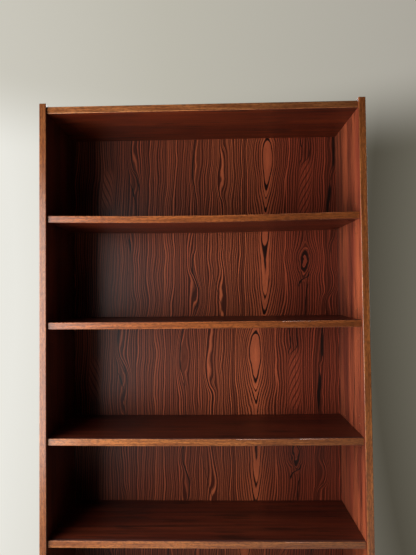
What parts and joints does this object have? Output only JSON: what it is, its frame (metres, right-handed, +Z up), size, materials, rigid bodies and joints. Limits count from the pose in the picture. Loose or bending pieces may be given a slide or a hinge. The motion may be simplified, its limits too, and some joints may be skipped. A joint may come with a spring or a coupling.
{
  "type": "bookcase with adjustable shelves",
  "caption": "Tall open rosewood bookcase: two sides, fixed top and bottom, plinth, screwed-on back, and loose lipped shelves on turned pins in hole rows.",
  "frame": {"origin": "on the floor, in the middle of the footprint", "axes": "+Z up, -Y towards the open front, +X to the right seen from the front"},
  "size_m": [0.85, 0.23, 1.8],
  "materials": {
    "rosewood_veneer": "satin lacquered rosewood veneer, straight reddish grain",
    "back_veneer": "satin lacquered rosewood veneer, bold vertical grain with dark lines",
    "rosewood_lipping": "satin oiled solid rosewood, lighter brown with fine lengthwise stripes",
    "beech": "raw beech",
    "pin_steel": "turned steel",
    "screw_steel": "plated steel, slotted round heads"
  },
  "bodies": {
    "case": {"left_side_panel": "rosewood_veneer", "right_side_panel": "rosewood_veneer", "left_side_lipping": "rosewood_lipping", "right_side_lipping": "rosewood_lipping", "top_panel": "rosewood_veneer", "top_lipping": "rosewood_lipping", "bottom_panel": "rosewood_veneer", "bottom_lipping": "rosewood_lipping", "plinth_board": "rosewood_veneer", "plinth_glue_blocks": "beech", "back_panel": "back_veneer", "back_panel_screws": "screw_steel", "carcass_dowels": "beech"},
    "shelf_1": {"shelf_1_board": "rosewood_veneer", "shelf_1_lipping": "rosewood_lipping"},
    "shelf_2": {"shelf_2_board": "rosewood_veneer", "shelf_2_lipping": "rosewood_lipping"},
    "shelf_3": {"shelf_3_board": "rosewood_veneer", "shelf_3_lipping": "rosewood_lipping"},
    "shelf_4": {"shelf_4_board": "rosewood_veneer", "shelf_4_lipping": "rosewood_lipping"},
    "shelf_5": {"shelf_5_board": "rosewood_veneer", "shelf_5_lipping": "rosewood_lipping"},
    "shelf_1_pin_front_left": {"shelf_1_pin_front_left": "pin_steel"},
    "shelf_1_pin_front_right": {"shelf_1_pin_front_right": "pin_steel"},
    "shelf_1_pin_back_left": {"shelf_1_pin_back_left": "pin_steel"},
    "shelf_1_pin_back_right": {"shelf_1_pin_back_right": "pin_steel"},
    "shelf_2_pin_front_left": {"shelf_2_pin_front_left": "pin_steel"},
    "shelf_2_pin_front_right": {"shelf_2_pin_front_right": "pin_steel"},
    "shelf_2_pin_back_left": {"shelf_2_pin_back_left": "pin_steel"},
    "shelf_2_pin_back_right": {"shelf_2_pin_back_right": "pin_steel"},
    "shelf_3_pin_front_left": {"shelf_3_pin_front_left": "pin_steel"},
    "shelf_3_pin_front_right": {"shelf_3_pin_front_right": "pin_steel"},
    "shelf_3_pin_back_left": {"shelf_3_pin_back_left": "pin_steel"},
    "shelf_3_pin_back_right": {"shelf_3_pin_back_right": "pin_steel"},
    "shelf_4_pin_front_left": {"shelf_4_pin_front_left": "pin_steel"},
    "shelf_4_pin_front_right": {"shelf_4_pin_front_right": "pin_steel"},
    "shelf_4_pin_back_left": {"shelf_4_pin_back_left": "pin_steel"},
    "shelf_4_pin_back_right": {"shelf_4_pin_back_right": "pin_steel"},
    "shelf_5_pin_front_left": {"shelf_5_pin_front_left": "pin_steel"},
    "shelf_5_pin_front_right": {"shelf_5_pin_front_right": "pin_steel"},
    "shelf_5_pin_back_left": {"shelf_5_pin_back_left": "pin_steel"},
    "shelf_5_pin_back_right": {"shelf_5_pin_back_right": "pin_steel"}
  },
  "joints": [
    {"name": "shelf_1_lift", "type": "slide", "parent": "case", "child": "shelf_1", "axis": [0, 0, 1], "range_m": [0, 0.268]},
    {"name": "shelf_2_lift", "type": "slide", "parent": "case", "child": "shelf_2", "axis": [0, 0, 1], "range_m": [0, 0.256]},
    {"name": "shelf_3_lift", "type": "slide", "parent": "case", "child": "shelf_3", "axis": [0, 0, 1], "range_m": [0, 0.28]},
    {"name": "shelf_4_lift", "type": "slide", "parent": "case", "child": "shelf_4", "axis": [0, 0, 1], "range_m": [0, 0.239]},
    {"name": "shelf_5_lift", "type": "slide", "parent": "case", "child": "shelf_5", "axis": [0, 0, 1], "range_m": [0, 0.26]},
    {"name": "shelf_1_pin_front_left_pull", "type": "slide", "parent": "case", "child": "shelf_1_pin_front_left", "axis": [1, 0, 0], "range_m": [0, 0.01]},
    {"name": "shelf_1_pin_front_right_pull", "type": "slide", "parent": "case", "child": "shelf_1_pin_front_right", "axis": [-1, 0, 0], "range_m": [0, 0.01]},
    {"name": "shelf_1_pin_back_left_pull", "type": "slide", "parent": "case", "child": "shelf_1_pin_back_left", "axis": [1, 0, 0], "range_m": [0, 0.01]},
    {"name": "shelf_1_pin_back_right_pull", "type": "slide", "parent": "case", "child": "shelf_1_pin_back_right", "axis": [-1, 0, 0], "range_m": [0, 0.01]},
    {"name": "shelf_2_pin_front_left_pull", "type": "slide", "parent": "case", "child": "shelf_2_pin_front_left", "axis": [1, 0, 0], "range_m": [0, 0.01]},
    {"name": "shelf_2_pin_front_right_pull", "type": "slide", "parent": "case", "child": "shelf_2_pin_front_right", "axis": [-1, 0, 0], "range_m": [0, 0.01]},
    {"name": "shelf_2_pin_back_left_pull", "type": "slide", "parent": "case", "child": "shelf_2_pin_back_left", "axis": [1, 0, 0], "range_m": [0, 0.01]},
    {"name": "shelf_2_pin_back_right_pull", "type": "slide", "parent": "case", "child": "shelf_2_pin_back_right", "axis": [-1, 0, 0], "range_m": [0, 0.01]},
    {"name": "shelf_3_pin_front_left_pull", "type": "slide", "parent": "case", "child": "shelf_3_pin_front_left", "axis": [1, 0, 0], "range_m": [0, 0.01]},
    {"name": "shelf_3_pin_front_right_pull", "type": "slide", "parent": "case", "child": "shelf_3_pin_front_right", "axis": [-1, 0, 0], "range_m": [0, 0.01]},
    {"name": "shelf_3_pin_back_left_pull", "type": "slide", "parent": "case", "child": "shelf_3_pin_back_left", "axis": [1, 0, 0], "range_m": [0, 0.01]},
    {"name": "shelf_3_pin_back_right_pull", "type": "slide", "parent": "case", "child": "shelf_3_pin_back_right", "axis": [-1, 0, 0], "range_m": [0, 0.01]},
    {"name": "shelf_4_pin_front_left_pull", "type": "slide", "parent": "case", "child": "shelf_4_pin_front_left", "axis": [1, 0, 0], "range_m": [0, 0.01]},
    {"name": "shelf_4_pin_front_right_pull", "type": "slide", "parent": "case", "child": "shelf_4_pin_front_right", "axis": [-1, 0, 0], "range_m": [0, 0.01]},
    {"name": "shelf_4_pin_back_left_pull", "type": "slide", "parent": "case", "child": "shelf_4_pin_back_left", "axis": [1, 0, 0], "range_m": [0, 0.01]},
    {"name": "shelf_4_pin_back_right_pull", "type": "slide", "parent": "case", "child": "shelf_4_pin_back_right", "axis": [-1, 0, 0], "range_m": [0, 0.01]},
    {"name": "shelf_5_pin_front_left_pull", "type": "slide", "parent": "case", "child": "shelf_5_pin_front_left", "axis": [1, 0, 0], "range_m": [0, 0.01]},
    {"name": "shelf_5_pin_front_right_pull", "type": "slide", "parent": "case", "child": "shelf_5_pin_front_right", "axis": [-1, 0, 0], "range_m": [0, 0.01]},
    {"name": "shelf_5_pin_back_left_pull", "type": "slide", "parent": "case", "child": "shelf_5_pin_back_left", "axis": [1, 0, 0], "range_m": [0, 0.01]},
    {"name": "shelf_5_pin_back_right_pull", "type": "slide", "parent": "case", "child": "shelf_5_pin_back_right", "axis": [-1, 0, 0], "range_m": [0, 0.01]}
  ]
}
